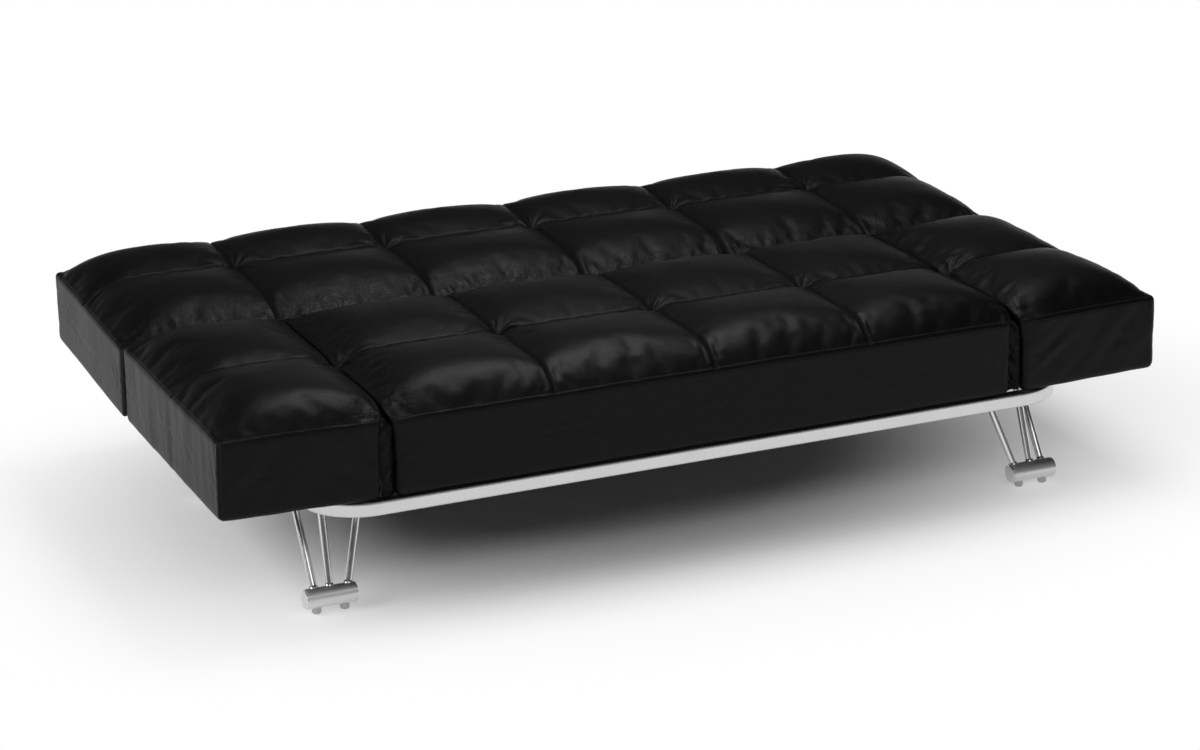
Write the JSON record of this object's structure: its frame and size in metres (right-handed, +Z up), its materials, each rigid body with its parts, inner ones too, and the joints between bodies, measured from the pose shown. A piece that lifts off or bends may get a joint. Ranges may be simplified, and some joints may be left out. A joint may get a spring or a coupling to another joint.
{
  "type": "futon sofa bed",
  "caption": "Black tufted faux-leather sofa bed lying flat on a chrome rail with rod legs; back and both arms fold up on click-stop hinges.",
  "frame": {"origin": "middle of the bounding box's base, on the floor", "axes": "+X along the length to the right-hand arm, +Y from the seat's front towards the back, +Z up"},
  "size_m": [1.7902, 1.0216, 0.4297],
  "materials": {
    "chrome": "polished",
    "faux_leather": "satin",
    "dust_cover": "matte",
    "birch": "satin",
    "black_plastic": "matte",
    "zinc_plate": "satin",
    "black_steel": "satin"
  },
  "bodies": {
    "base": {"chrome_rail": "chrome", "front_cross_bar": "black_steel", "middle_cross_bar": "black_steel", "rear_cross_bar": "black_steel", "leg_front_left": "chrome", "leg_front_right": "chrome", "leg_rear_left": "chrome", "leg_rear_right": "chrome", "foot_bar_front_left": "chrome", "foot_bar_front_right": "chrome", "foot_bar_rear_left": "chrome", "foot_bar_rear_right": "chrome", "foot_end_caps": "chrome", "floor_glides": "zinc_plate", "frame_bolts": "zinc_plate", "seat_front_tube": "black_steel", "seat_rear_tube": "black_steel", "seat_left_tube": "black_steel", "seat_right_tube": "black_steel", "seat_slats": "birch", "seat_slat_holders": "black_plastic", "seat_pad": "faux_leather", "seat_dust_cover": "dust_cover", "back_hinge_seat_plate_left": "zinc_plate", "back_hinge_seat_plate_right": "zinc_plate", "left_arm_hinge_seat_plates": "zinc_plate", "right_arm_hinge_seat_plates": "zinc_plate", "hinge_pawls": "zinc_plate", "pawl_springs": "zinc_plate", "hinge_pins": "zinc_plate"},
    "back": {"back_front_tube": "black_steel", "back_rear_tube": "black_steel", "back_left_tube": "black_steel", "back_right_tube": "black_steel", "back_rib_tubes": "black_steel", "back_slats": "birch", "back_slat_holders": "black_plastic", "back_pad": "faux_leather", "back_dust_cover": "dust_cover", "back_hinge_arm_left": "zinc_plate", "back_hinge_arm_right": "zinc_plate", "back_ratchet_wheels": "zinc_plate"},
    "left_arm": {"left_arm_inner_tube": "black_steel", "left_arm_outer_tube": "black_steel", "left_arm_end_tubes": "black_steel", "left_arm_panel": "birch", "left_arm_pad": "faux_leather", "left_arm_dust_cover": "dust_cover", "left_arm_hinge_leaves": "zinc_plate", "left_arm_ratchet_wheels": "zinc_plate"},
    "right_arm": {"right_arm_inner_tube": "black_steel", "right_arm_outer_tube": "black_steel", "right_arm_end_tubes": "black_steel", "right_arm_panel": "birch", "right_arm_pad": "faux_leather", "right_arm_dust_cover": "dust_cover", "right_arm_hinge_leaves": "zinc_plate", "right_arm_ratchet_wheels": "zinc_plate"}
  },
  "joints": [
    {"name": "back_fold", "type": "hinge", "parent": "base", "child": "back", "pos_m": [0, 0.0862, 0.344], "axis": [1, 0, 0], "range_deg": [0, 68]},
    {"name": "left_arm_fold", "type": "hinge", "parent": "base", "child": "left_arm", "pos_m": [-0.6, 0, 0.339], "axis": [0, 1, 0], "range_deg": [0, 80]},
    {"name": "right_arm_fold", "type": "hinge", "parent": "base", "child": "right_arm", "pos_m": [0.6, 0, 0.339], "axis": [0, -1, 0], "range_deg": [0, 80]}
  ]
}
